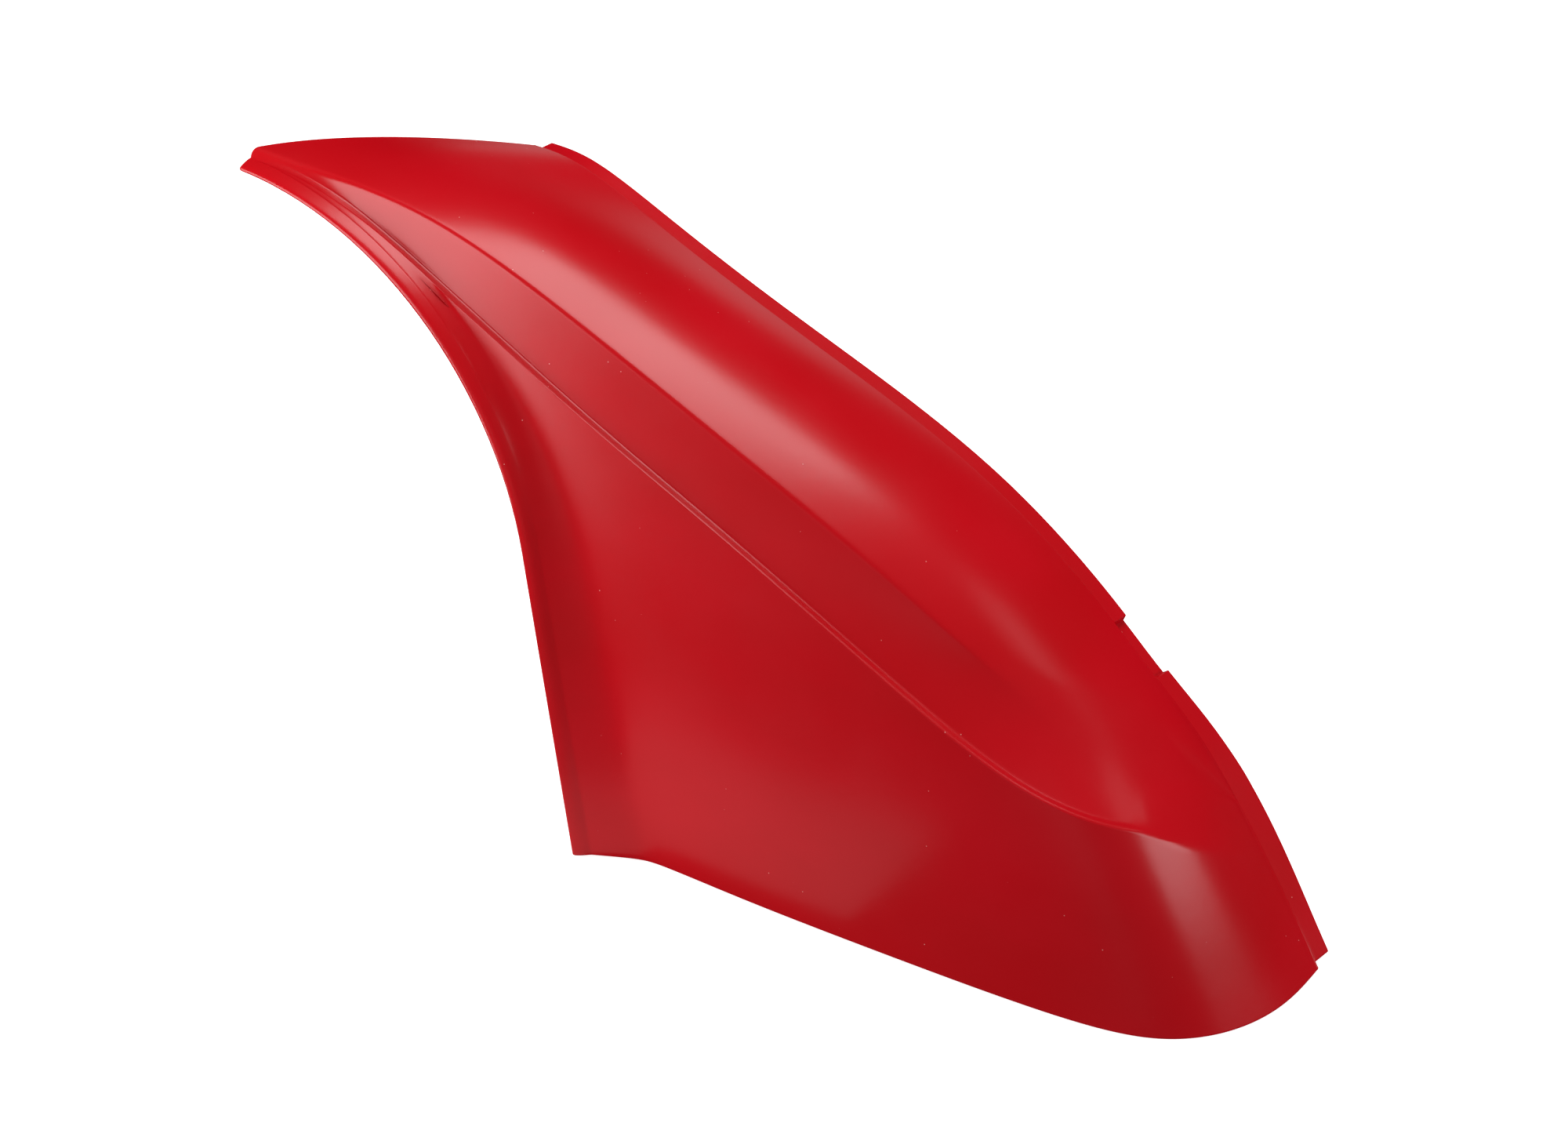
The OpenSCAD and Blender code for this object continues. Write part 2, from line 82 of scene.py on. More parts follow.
# Where each light stands and looks, in metres. Glow is its brightness, and a soft one lights
# the part but isn't mirrored in it.
softboxes = {
    "topBox": {"at": (-0.05, 0.20, 1.20), "aim": (-0.05, 0.19, 0.0), "size": (0.50, 1.0),
               "glow": 3.7},
    "sideBox": {"at": (-0.57, -0.55, 0.225), "aim": (-0.57, 0.0, 0.225), "size": (0.50, 0.80),
                "glow": 3.4, "roll": -31.0},
    "tailStrip": {"at": (1.59, 0.35, 0.54), "aim": (0.2, 0.0, 0.1), "size": (1.20, 0.52),
                  "glow": 2.9},
    "scallopStrip": {"at": (0.71, 0.62, 1.12), "aim": (0.15, 0.0, 0.12), "size": (0.40, 0.17),
                     "glow": 0.9},
    "lowCard": {"at": (-0.14, -0.115, -0.002), "aim": (-0.14, -0.11, 1.0), "size": (0.40, 0.09),
                "glow": 0.30},
    "rimCard": {"at": (-0.60, 1.35, 0.20), "aim": partMiddle, "size": (1.0, 0.7),
                "glow": 0.25},
    "backFill": {"at": (0.10, 1.20, -0.35), "aim": partMiddle, "size": (1.0, 0.7),
                 "glow": 2.0, "soft": True},
    "frontFill": {"at": (0.30, -1.80, 0.25), "aim": partMiddle, "size": (1.5, 1.0),
                  "glow": 0.6, "soft": True},
}


worldGlow = 0.4
floorShade = {"color": (0.93, 0.93, 0.93, 1.0), "rough": 0.9, "shine": 0.1, "glow": 0.75,
              "size": 30.0, "below": 0.0004}


def addSoftbox(name, box):
    light = bpy.data.lights.new(name, "AREA")
    light.shape = "RECTANGLE"
    light.size, light.size_y = box["size"]
    light.energy = 4.0 * light.size * light.size_y * box["glow"]
    obj = bpy.data.objects.new(name, light)
    scene.collection.objects.link(obj)
    obj.location = box["at"]
    aimed(obj, box["aim"], box.get("roll", 0.0))
    obj.visible_camera = False
    obj.visible_glossy = not box.get("soft", False)


def addWorld():
    world = bpy.data.worlds.new("studio")
    world.use_nodes = True
    background = world.node_tree.nodes["Background"]
    background.inputs["Color"].default_value = (1.0, 1.0, 1.0, 1.0)
    background.inputs["Strength"].default_value = worldGlow
    world.cycles_visibility.glossy = False
    scene.world = world


def addFloor():
    bpy.ops.mesh.primitive_plane_add(size=floorShade["size"],
                                     location=(0.0, 0.0, -floorShade["below"]))
    floor = bpy.context.object
    floor.name = "studio_floor"
    mat = bpy.data.materials.new("pale_floor")
    mat.use_nodes = True
    bsdf = mat.node_tree.nodes["Principled BSDF"]
    bsdf.inputs["Base Color"].default_value = floorShade["color"]
    bsdf.inputs["Roughness"].default_value = floorShade["rough"]
    bsdf.inputs["Specular IOR Level"].default_value = floorShade["shine"]
    bsdf.inputs["Emission Color"].default_value = (1.0, 1.0, 1.0, 1.0)
    bsdf.inputs["Emission Strength"].default_value = floorShade["glow"]
    floor.data.materials.append(mat)
    floor.visible_glossy = False
    floor.visible_diffuse = False
    floor.visible_shadow = False


addCamera()
for name, box in softboxes.items():
    addSoftbox(name, box)
addWorld()
addFloor()
scene.view_settings.view_transform = "Standard"
print("studio ready")

# Sizes in mm, from the foot of the wheel arch; shift puts them under the row's origin
panel = {
    "shift": (-65.0, -70.0, 0.0),
    "archRadius": 169.0,
    "archHeight": 115.0,
    "archAhead": 193.0,
    "archLean": 10.0,
    "frontX": -183.0,
    "lipWidth": 5.5,
    "lipHeight": 4.5,
    "flareWidth": 22.0,
    "skin": 3.0,
    "ledgeWidth": 4.0,
    "crown": 14.0,
    "frontCrown": 0.4,
    "crownRun": 0.3,
    "flangeWidth": 12.0,
    "flangeEar": 4.0,
    "joggle": 3.0,
    "pocketDepth": 3.0,
    "pocketFrom": 199.0,
    "pocketTo": 221.0,
    "pocketEnd": 0.8,
    "flangeRound": 0.7,
    "joggleRun": 2.0,
    "tailLift": 4.0,  # the flange rises this much along the tail
    "rimRadius": 0.7,
    "ledgeRound": 1.5,
    "ledgeHollow": 1.1,
    "creaseRound": 2.6,
    "creaseFade": 20.0,
    "wallHollow": (0.03, 0.12),
    "lipHollow": 1.0,
    "columns": 240,
}
seamLine = [(-124, 126, 270), (-98, 126, 270), (-48, 126, 248), (12, 126, 225),
            (75, 126, 204), (135, 126, 179), (185, 126, 145), (215, 126, 118),
            (240, 126, 98), (256, 126, 80), (265, 126, 68)]
creaseLine = [(-183, 7, 293), (-150, 14, 288), (-90, 21, 282), (-15, 27, 249),
              (65, 33, 210), (130, 39, 178), (180, 47, 146), (215, 60, 122),
              (241, 82, 106), (257, 105, 86), (265, 126, 68)]
ledgeLine = [None, (-145, 8, 286), (-85, 12, 254), (-8, 16, 211),
             (70, 20, 175), (145, 23, 137), (210, 27, 104), (252, 38, 91),
             (274, 68, 82), (276, 98, 73), (265, 126, 68)]
hemLine = [None, (22, 18, 0), (48, 18, 0), (88, 18, 0),
           (138, 20, 0), (195, 23, 0), (248, 27, 0), (288, 36, 0),
           (309, 62, 0), (315, 94, 0), (310, 126, 0)]
tailNormal = (0.72, 0.42, 0.55)


def unit(v):
    return v / np.maximum(np.linalg.norm(v, axis=-1, keepdims=True), 1e-9)


def mix(a, b, f):
    return a + (b - a) * f


def smooth(x):
    x = np.clip(x, 0.0, 1.0)
    return x * x * (3.0 - 2.0 * x)


def splineAt(points, u):  # cubic B-spline that starts and ends on its end points
    p = np.array(points, float)
    p = np.vstack([2 * p[0] - p[1], p, 2 * p[-1] - p[-2]])
    spans = len(p) - 3
    t = np.clip(u, 0.0, 1.0) * spans
    k = np.minimum(t.astype(int), spans - 1)
    f = (t - k)[..., None]
    return ((1 - f) ** 3 * p[k] + (3 * f ** 3 - 6 * f ** 2 + 4) * p[k + 1]
            + (-3 * f ** 3 + 3 * f ** 2 + 3 * f + 1) * p[k + 2] + f ** 3 * p[k + 3]) / 6


def archEdge(v, off):  # straight foot, then an arc up to the front end
    lean = math.radians(panel["archLean"])
    r = panel["archRadius"] + off
    straight = (panel["archHeight"] + r * math.sin(lean)) / math.cos(lean)
    arc = r * (np.arccos((panel["frontX"] + panel["archAhead"]) / r) - lean)
    s = v * (straight + arc)
    rest = np.maximum(straight - s, 0.0)
    a = lean + np.maximum(s - straight, 0.0) / r
    x = -panel["archAhead"] + r * np.cos(a) + rest * math.sin(lean)
    z = panel["archHeight"] + r * np.sin(a) - rest * math.cos(lean)
    return np.stack([x, 0.0 * x, z], -1)


def sideways(y):
    return np.stack([0.0 * y, y, 0.0 * y], -1)


def baseDepth(v):
    return mix(18.0, 4.0, v * v)


def lipRoot(v):
    return mix(5.0, 4.0, v)


def archSide(v):
    return archEdge(v, panel["lipWidth"]) + sideways(baseDepth(v))


def lipPoint(v, k):
    bead = panel["lipHeight"] * (0.1 + 0.9 * v * v)
    edge = archEdge(v, panel["lipWidth"] * k)
    return edge + sideways(lipRoot(v) * k - bead * np.sin(math.pi * k))


hemLine[0] = tuple(archSide(np.array(0.0)))
ledgeLine[0] = tuple(archSide(np.array(1.0)))


def flare(u):
    a = 1.0 - (splineAt(hemLine, u)[..., 0] - hemLine[0][0]) / panel["flareWidth"]
    return (a + np.sqrt(a * a + 0.09)) / (1 + math.sqrt(1.09))


def skirt(u, v):
    hem0, ledge0 = np.array(hemLine[0]), np.array(ledgeLine[0])
    hem1, seam1 = np.array(hemLine[-1], float), np.array(seamLine[-1], float)
    w = v[..., None]
    seamFoot = mix(hem1, seam1, w) + w * (1 - w) * np.array([6.0, 0.0, 0.0])
    fromArch = archSide(v) - mix(hem0, ledge0, w)
    fromSeam = seamFoot - mix(hem1, seam1, w)
    body = mix(splineAt(hemLine, u), splineAt(ledgeLine, u), w)
    body = body + (1 - u)[..., None] ** 3 * fromArch + u[..., None] ** 3 * fromSeam
    return body - sideways((baseDepth(v) - lipRoot(v)) * flare(u))


def outward(u):
    a = np.radians(75.0 * np.maximum(0.0, u - 0.55) / 0.45)
    return np.stack([np.sin(a), -np.cos(a), 0.0 * a], -1)


def upward(u):
    a = np.radians(50.0 * u)
    return np.stack([np.sin(a), 0.0 * a, np.cos(a)], -1)


def ledgeInner(u):
    fade = np.minimum(1.0, u / 0.12) * np.minimum(1.0, (1 - u) / 0.15)
    return splineAt(ledgeLine, u) - panel["ledgeWidth"] * fade[..., None] * outward(u)


def wall(u, f):
    a, b = ledgeInner(u), splineAt(creaseLine, u)
    hollow = mix(panel["wallHollow"][0], panel["wallHollow"][1], smooth((u - 0.25) / 0.35))
    q = mix(a, b, 0.5) - (hollow[..., None] * np.linalg.norm(b - a, axis=-1, keepdims=True)
                          * outward(u))
    f = f[..., None]
    return (1 - f) ** 2 * a + 2 * f * (1 - f) * q + f ** 2 * b


def deck(u, f):
    a, b = splineAt(creaseLine, u), splineAt(seamLine, u)
    crown = panel["crown"] * mix(panel["frontCrown"], 1.0, smooth(u / panel["crownRun"]))
    rise = (crown / 100)[..., None] * np.linalg.norm(b - a, axis=-1, keepdims=True) * upward(u)
    p, q = mix(a, b, 0.3) + rise, mix(a, b, 0.7) + 0.6 * rise
    f = f[..., None]
    return ((1 - f) ** 3 * a + 3 * f * (1 - f) ** 2 * p
            + 3 * f ** 2 * (1 - f) * q + f ** 3 * b)


def averaged(line, values, half):  # mean of values within half of each point along the line
    step = np.linalg.norm(np.diff(line, axis=0), axis=1)
    s = np.concatenate([[0.0], np.cumsum(step)])
    total = np.zeros_like(values)
    total[1:] = np.cumsum(0.5 * (values[1:] + values[:-1]) * step[:, None], axis=0)
    half = np.minimum(half, np.minimum(s, s[-1] - s))

    def upTo(x):
        k = np.clip(np.searchsorted(s, x, side="right") - 1, 0, len(step) - 1)
        d = (x - s[k])[:, None]
        slope = (values[k + 1] - values[k]) / np.maximum(step[k], 1e-9)[:, None]
        return total[k] + values[k] * d + 0.5 * slope * d * d

    wide = half > 1e-4
    safe = np.where(wide, half, 1.0)
    mean = (upTo(s + half) - upTo(s - half)) / (2 * safe)[:, None]
    return np.where(wide[:, None], mean, values)


def softened(line, corner, reach):  # rounds a polyline's corner over reach on each side
    s = np.concatenate([[0.0], np.cumsum(np.linalg.norm(np.diff(line, axis=0), axis=1))])
    away = np.abs(s - s[corner]) / reach
    return averaged(line, line, reach * (1.0 - smooth((away - 1.0) / 2.0)))


def skinRows():  # rows crowd together at the edges and corners
    v = np.concatenate([[0.0042, 0.010], np.linspace(0.025, 0.95, 46)[:-1],
                        1 - 0.05 * np.linspace(1, 0, 14) ** 1.6])
    ledge = np.linspace(0, 1, 9)[1:]
    wallF = 0.5 - 0.5 * np.cos(np.linspace(0, math.pi, 27))[1:]
    deckF = 0.5 - 0.5 * np.cos(np.linspace(0, math.pi, 45))[1:]
    return v, ledge, wallF, deckF


def skinColumns():  # even columns, with more at the ends of the pocket
    u = np.linspace(0, 1, panel["columns"] + 1) ** 1.25
    fine = np.linspace(0, 1, 4001)
    seamX = splineAt(seamLine, fine)[:, 0]
    extra = []
    for x in (panel["pocketFrom"], panel["pocketTo"]):
        extra.append(np.interp(x + np.linspace(-1.2, 1.2, 9), seamX, fine))
    return np.unique(np.round(np.concatenate([u, *extra]), 6))


def outerSkin(u, rows):
    v, ledge, wallF, deckF = rows
    column = u[:, None]
    skirtPart = skirt(column + 0 * v, v + 0 * column)
    a, b = splineAt(ledgeLine, u)[:, None], ledgeInner(u)[:, None]
    ledgePart = mix(a, b, ledge[None, :, None])
    wallPart = wall(column + 0 * wallF, wallF + 0 * column)
    deckPart = deck(column + 0 * deckF, deckF + 0 * column)
    skin = np.concatenate([skirtPart, ledgePart, wallPart, deckPart], 1)
    ledgeRow = len(v) - 1
    innerRow = ledgeRow + len(ledge)
    creaseRow = innerRow + len(wallF)
    for i, x in enumerate(u[:-1]):
        line = skin[i]
        line = softened(line, creaseRow, panel["creaseRound"]
                        + panel["creaseFade"] * smooth((x - 0.60) / 0.22))
        line = softened(line, innerRow, panel["ledgeHollow"])
        line = softened(line, ledgeRow, panel["ledgeRound"])
        skin[i] = line
    return skin, ledgeRow


def gridNormals(grid):
    along = np.gradient(grid, axis=0)
    across = np.gradient(grid, axis=1)
    return unit(np.cross(along, across))


def joggleSection():  # how far out (w) and how deep (d) the flange runs from the seam
    r, w1 = panel["flangeRound"], panel["joggleRun"]
    depth, out = panel["joggle"], panel["flangeWidth"]
    turn = np.radians([20, 40, 60, 80])
    top = [(r * math.sin(a), r * (1 - math.cos(a))) for a in turn]
    foot = [(w1 - r * math.sin(a), depth - r * (1 - math.cos(a))) for a in turn[::-1]]
    flat = [(w1, depth), (3.2, depth), (6.0, depth), (9.0, depth), (11.2, depth), (out, depth)]
    return top + foot + flat


def buildSkin():
    u, rows = skinColumns(), skinRows()
    grid, ledgeRow = outerSkin(u, rows)
    normals = gridNormals(grid)
    v = rows[0]
    columns, rowCount = len(u), grid.shape[1]
    tail = unit(np.array(tailNormal))
    normals[-1, ledgeRow:] = tail

    # rolled lip along the arch, softened where it meets the skirt
    k = 1 - np.array([1.0, 0.93, 0.85, 0.76, 0.66, 0.56, 0.46, 0.36, 0.27, 0.19, 0.12, 0.06])
    lip = lipPoint(v[None, :] + 0 * k[:, None], k[:, None] + 0 * v[None, :])
    for j in range(ledgeRow + 1):
        line = np.concatenate([lip[:, j], grid[:, j]])
        line = softened(line, len(k), panel["lipHollow"])
        lip[:, j], grid[:, j] = line[:len(k)], line[len(k):]
    lipNormals = gridNormals(np.concatenate([lip, grid[:3, :ledgeRow + 1]]))[:len(k)]

    # path of the seam: along the deck to the tail, then down the tail to the hem
    pathAt = [(i, rowCount - 1) for i in range(columns)]
    pathAt += [(columns - 1, j) for j in range(ledgeRow - 1, -1, -1)]
    path = np.array([grid[at] for at in pathAt])
    pathOut = averaged(path, np.array([normals[at] for at in pathAt]), 9.0)
    pathOut[:, 1] = 0.0
    pathOut = unit(pathOut)
    inboard = np.array([0.0, 1.0, 0.0])
    x, z = path[:, 0], path[:, 2]
    end = panel["pocketEnd"]
    sunk = smooth((x - panel["pocketFrom"]) / end + 0.5)
    sunk = sunk * smooth((panel["pocketTo"] - x) / end + 0.5) * (z > 90)
    lift = np.zeros(len(path))
    lift[columns:] = panel["tailLift"] * (1 - v[ledgeRow - 1::-1])
    fromTail = np.concatenate([4.0 * (1 - u ** 0.8), 1 - v[ledgeRow - 1::-1]])
    wider = panel["flangeEar"] * np.cos(0.5 * math.pi * np.clip(fromTail, 0.0, 1.0)) ** 2
    flange = []
    for w, d in joggleSection():
        deeper = panel["pocketDepth"] * sunk * smooth(d / panel["joggle"])
        past = (w - panel["joggleRun"]) / (panel["flangeWidth"] - panel["joggleRun"])
        stretch = w + wider * min(max(past, 0.0), 1.0)
        p = path + stretch[:, None] * inboard - (d + deeper)[:, None] * pathOut
        p[:, 2] += lift * smooth(w / panel["joggleRun"])
        flange.append(p)
    flange = np.array(flange)

    # inner face: the same grids moved in, along normals that turn more gently
    thick = panel["skin"]
    gentle = np.array([unit(averaged(grid[i], normals[i], 5.0)) for i in range(columns)])
    gentle[-1] = normals[-1]
    inGrid = grid - thick * gentle
    inLip = lip - thick * lipNormals
    inFlange = flange - thick * pathOut[None]
    inGrid[:, 0, 2] = grid[:, 0, 2]
    inLip[:, 0, 2] = lip[:, 0, 2]

    # one list of points, and the number of each
    sheet = [grid.reshape(-1, 3), lip.reshape(-1, 3), flange.reshape(-1, 3)]
    inner = [inGrid.reshape(-1, 3), inLip.reshape(-1, 3), inFlange.reshape(-1, 3)]
    count = sum(len(s) for s in sheet)
    gridId = np.arange(columns * rowCount).reshape(columns, rowCount)
    gridId[-1, ledgeRow:] = gridId[-1, ledgeRow]
    lipId = columns * rowCount + np.arange(lip.shape[0] * lip.shape[1]).reshape(lip.shape[:2])
    lipId = np.vstack([lipId, gridId[0, :ledgeRow + 1]])
    flangeId = (columns * rowCount + lip.shape[0] * lip.shape[1]
                + np.arange(flange.shape[0] * flange.shape[1]).reshape(flange.shape[:2]))
    flangeId = np.vstack([[gridId[at] for at in pathAt], flangeId])

    def quads(ids):
        return np.stack([ids[:-1, :-1], ids[1:, :-1], ids[1:, 1:], ids[:-1, 1:]], -1).reshape(-1, 4)

    outer = np.concatenate([quads(gridId), quads(lipId), quads(flangeId.T)])
    loop = np.concatenate([lipId[:-1, 0], gridId[:, 0], flangeId[1:, -1],
                           flangeId[-1, -2:0:-1], flangeId[::-1, 0][:-1],
                           gridId[0, :ledgeRow:-1], lipId[::-1, -1], lipId[0, -2:0:-1]])

    # rim with rounded edges between the two faces
    points = np.concatenate(sheet + inner)
    p, q = points[loop], points[loop + count]
    through = unit(p - q)
    edge = unit(np.roll(p, -1, axis=0) - np.roll(p, 1, axis=0))
    out = unit(np.cross(edge, through))
    r = panel["rimRadius"]
    rim = []
    for a in np.radians([30, 60, 90]):
        rim.append(p - r * through + r * (math.cos(a) * through + math.sin(a) * out))
    for a in np.radians([90, 60, 30]):
        rim.append(q + r * through + r * (math.sin(a) * out - math.cos(a) * through))
    rimId = len(points) + np.arange(6 * len(loop)).reshape(6, len(loop))
    rimId = np.vstack([loop, rimId, loop + count])
    rimId = np.hstack([rimId, rimId[:, :1]])
    faces = np.concatenate([outer, (outer + count)[:, ::-1], quads(rimId)])
    points = np.concatenate([points, *rim])
    points[:, 2] = np.maximum(points[:, 2], 0.0)  # the bottom edge is cut flat
    inside = np.zeros(len(points))
    inside[count:2 * count] = 1.0
    return points, faces, inside


def meshFrom(name, points, faces):
    mesh = bpy.data.meshes.new(name)
    solid = []
    for face in faces.tolist():
        corners = [c for n, c in enumerate(face) if c != face[n - 1]]
        if len(set(corners)) > 2:
            solid.append(corners)
    mesh.from_pydata(points.tolist(), [], solid)
    mesh.update()
    obj = bpy.data.objects.new(name, mesh)
    scene.collection.objects.link(obj)
    return obj


def addSkin():
    points, faces, inside = buildSkin()
    skin = meshFrom("wing_skin", (points + np.array(panel["shift"])) * mm, faces)
    mark = skin.data.attributes.new("inside", "FLOAT", "POINT")
    mark.data.foreach_set("value", inside.astype(np.float32))
    bpy.context.view_layer.objects.active = skin
    skin.select_set(True)
    bpy.ops.object.mode_set(mode="EDIT")
    bpy.ops.mesh.select_all(action="SELECT")
    bpy.ops.mesh.delete_loose()
    bpy.ops.object.mode_set(mode="OBJECT")
    skin.data.shade_smooth()
    return skin


def startMaterial(name, color, rough, metal=0.0):
    mat = bpy.data.materials.new(name)
    mat.use_nodes = True
    bsdf = mat.node_tree.nodes["Principled BSDF"]
    bsdf.inputs["Base Color"].default_value = (*color, 1.0)
    bsdf.inputs["Roughness"].default_value = rough
    bsdf.inputs["Metallic"].default_value = metal
    return mat, mat.node_tree.nodes, mat.node_tree.links, bsdf


def addNode(nodes, kind, values):
    node = nodes.new(kind)
    for socket, value in values.items():
        node.inputs[socket].default_value = value
    return node


def patchyNoise(nodes, links, scale, detail=2.0, stretch=(1.0, 1.0, 1.0)):
    place = nodes.new("ShaderNodeTexCoord")
    mapping = addNode(nodes, "ShaderNodeMapping", {"Scale": stretch})
    noise = addNode(nodes, "ShaderNodeTexNoise", {"Scale": scale, "Detail": detail})
    links.new(place.outputs["Object"], mapping.inputs["Vector"])
    links.new(mapping.outputs["Vector"], noise.inputs["Vector"])
    return noise.outputs["Fac"]


def speckle(nodes, links, scale):
    place = nodes.new("ShaderNodeTexCoord")
    voronoi = addNode(nodes, "ShaderNodeTexVoronoi", {"Scale": scale})
    links.new(place.outputs["Object"], voronoi.inputs["Vector"])
    return voronoi.outputs["Distance"]


def spread(nodes, links, source, low, high, toLow=0.0, toHigh=1.0):
    node = addNode(nodes, "ShaderNodeMapRange", {"From Min": low, "From Max": high,
                                                 "To Min": toLow, "To Max": toHigh})
    links.new(source, node.inputs["Value"])
    return node.outputs["Result"]


def product(nodes, links, first, second):
    node = nodes.new("ShaderNodeMath")
    node.operation = "MULTIPLY"
    links.new(first, node.inputs[0])
    links.new(second, node.inputs[1])
    return node.outputs["Value"]


def tinted(nodes, links, factor, first, second):
    node = nodes.new("ShaderNodeMix")
    node.data_type = "RGBA"
    colorA, colorB = node.inputs[6], node.inputs[7]
    links.new(factor, node.inputs[0])
    for socket, source in ((colorA, first), (colorB, second)):
        if isinstance(source, tuple):
            socket.default_value = (*source, 1.0)
        else:
            links.new(source, socket)
    return node.outputs[2]


def shiftedTo(nodes, links, factor, first, second):
    node = nodes.new("ShaderNodeMix")
    links.new(factor, node.inputs[0])
    for socket, source in ((node.inputs[2], first), (node.inputs[3], second)):
        if isinstance(source, float):
            socket.default_value = source
        else:
            links.new(source, socket)
    return node.outputs[0]


def addBump(nodes, links, height, depth, below=None):
    bump = addNode(nodes, "ShaderNodeBump", {"Strength": 1.0, "Distance": depth})
    links.new(height, bump.inputs["Height"])
    if below:
        links.new(below, bump.inputs["Normal"])
    return bump.outputs["Normal"]


plastic = {
    "red": (0.54, 0.0, 0.006),
    "flowRed": (0.50, 0.0, 0.004),  # faint swirls where the sheet stretched
    "flowScale": 9.0,
    "insideRed": (0.44, 0.004, 0.008),
    "dustColor": (0.74, 0.30, 0.28),
    "dustScale": 120.0,
    "dustSize": (0.022, 0.036),
    "dustPatches": 14.0,
    "dustHeight": 0.00002,
    "rough": (0.235, 0.27),
    "roughScale": 22.0,
    "insideRough": 0.46,
    "peel": (240.0, 0.00003),  # scale and depth of the slight waviness
    "grain": (2600.0, 0.000003),
    "insideGrain": (700.0, 0.00009),
}


def moldedRed():
    mat, nodes, links, bsdf = startMaterial("molded_red_plastic", plastic["red"],
                                            plastic["rough"][0])
    mark = nodes.new("ShaderNodeAttribute")
    mark.attribute_name = "inside"
    inside = mark.outputs["Fac"]
    flow = patchyNoise(nodes, links, plastic["flowScale"], 3.0, (1.0, 1.0, 2.0))
    flow = spread(nodes, links, flow, 0.35, 0.65)
    dusty = patchyNoise(nodes, links, plastic["dustPatches"])
    dusty = spread(nodes, links, dusty, 0.50, 0.60)
    specks = spread(nodes, links, speckle(nodes, links, plastic["dustScale"]),
                    *plastic["dustSize"], 1.0, 0.0)
    specks = product(nodes, links, specks, dusty)

    color = tinted(nodes, links, flow, plastic["red"], plastic["flowRed"])
    color = tinted(nodes, links, inside, color, plastic["insideRed"])
    color = tinted(nodes, links, specks, color, plastic["dustColor"])
    links.new(color, bsdf.inputs["Base Color"])

    rough = patchyNoise(nodes, links, plastic["roughScale"], 4.0)
    rough = spread(nodes, links, rough, 0.3, 0.7, *plastic["rough"])
    rough = shiftedTo(nodes, links, inside, rough, plastic["insideRough"])
    links.new(rough, bsdf.inputs["Roughness"])

    peelScale, peelDepth = plastic["peel"]
    grainScale, grainDepth = plastic["grain"]
    pebbleScale, pebbleDepth = plastic["insideGrain"]
    peel = addBump(nodes, links, patchyNoise(nodes, links, peelScale, 1.0), peelDepth)
    grain = addBump(nodes, links, patchyNoise(nodes, links, grainScale, 1.0), grainDepth, peel)
    raised = addBump(nodes, links, specks, plastic["dustHeight"], grain)
    pebble = product(nodes, links, patchyNoise(nodes, links, pebbleScale, 3.0), inside)
    links.new(addBump(nodes, links, pebble, pebbleDepth, raised), bsdf.inputs["Normal"])
    return mat


# The world is hidden from reflections, which would leave a full mirror black,
# so only metalShare of the light on a metal is mirrored
metalShare = 0.55
metals = {
    "stud_steel": {"name": "plated_stud_steel", "color": (0.62, 0.63, 0.65),
                   "tint": (0.58, 0.55, 0.44), "rough": (0.26, 0.44)},
    "zinc_steel": {"name": "bright_zinc", "color": (0.70, 0.71, 0.74),
                   "tint": (0.66, 0.64, 0.54), "rough": (0.20, 0.36), "grainScale": 420.0},
    "bracket_aluminium": {"name": "brushed_aluminium", "color": (0.62, 0.63, 0.65),
                          "tint": (0.54, 0.55, 0.58), "rough": (0.26, 0.42),
                          "grain": (0.03, 1.0, 1.0), "grainScale": 1500.0, "depth": 0.00001},
    "spring_steel": {"name": "oiled_spring_steel", "color": (0.17, 0.17, 0.19),
                     "tint": (0.24, 0.20, 0.17), "rough": (0.24, 0.40)},
    "pin_steel": {"name": "turned_pin_steel", "color": (0.68, 0.69, 0.72),
                  "tint": (0.60, 0.60, 0.62), "rough": (0.18, 0.34),
                  "grain": (0.02, 1.0, 0.02), "grainScale": 3500.0, "depth": 0.000006},
    "bail_steel": {"name": "polished_bail_wire", "color": (0.74, 0.75, 0.77),
                   "tint": (0.66, 0.67, 0.70), "rough": (0.10, 0.20)},
}
softs = {
    "adhesive": {"name": "bond_paste", "color": (0.045, 0.045, 0.05),
                 "bloom": (0.09, 0.09, 0.095), "rough": (0.42, 0.62),
                 "grainScale": 260.0, "depth": 0.00035},
    "rubber": {"name": "black_rubber", "color": (0.018, 0.018, 0.018),
               "bloom": (0.05, 0.05, 0.048), "rough": (0.68, 0.88),
               "grainScale": 620.0, "depth": 0.00006},
    "nylon_blue": {"name": "blue_nylon", "color": (0.02, 0.10, 0.42),
                   "bloom": (0.03, 0.14, 0.50), "rough": (0.34, 0.48),
                   "grainScale": 800.0, "depth": 0.00002, "through": 0.1},
    "nylon_white": {"name": "white_nylon", "color": (0.78, 0.76, 0.69),
                    "bloom": (0.70, 0.67, 0.58), "rough": (0.36, 0.50),
                    "grainScale": 800.0, "depth": 0.00002, "through": 0.2},
}
lightDepth = 0.001  # how far light goes into nylon, in metres


def metalFinish(name, color, tint, rough, grain=(1.0, 1.0, 1.0), grainScale=900.0,
                depth=0.000004):
    mat, nodes, links, bsdf = startMaterial(name, color, rough[0], metalShare)
    patches = spread(nodes, links, patchyNoise(nodes, links, 70.0, 4.0), 0.35, 0.68)
    links.new(tinted(nodes, links, patches, color, tint), bsdf.inputs["Base Color"])
    lay = patchyNoise(nodes, links, grainScale, 3.0, grain)
    links.new(spread(nodes, links, lay, 0.3, 0.7, *rough), bsdf.inputs["Roughness"])
    links.new(addBump(nodes, links, lay, depth), bsdf.inputs["Normal"])
    return mat


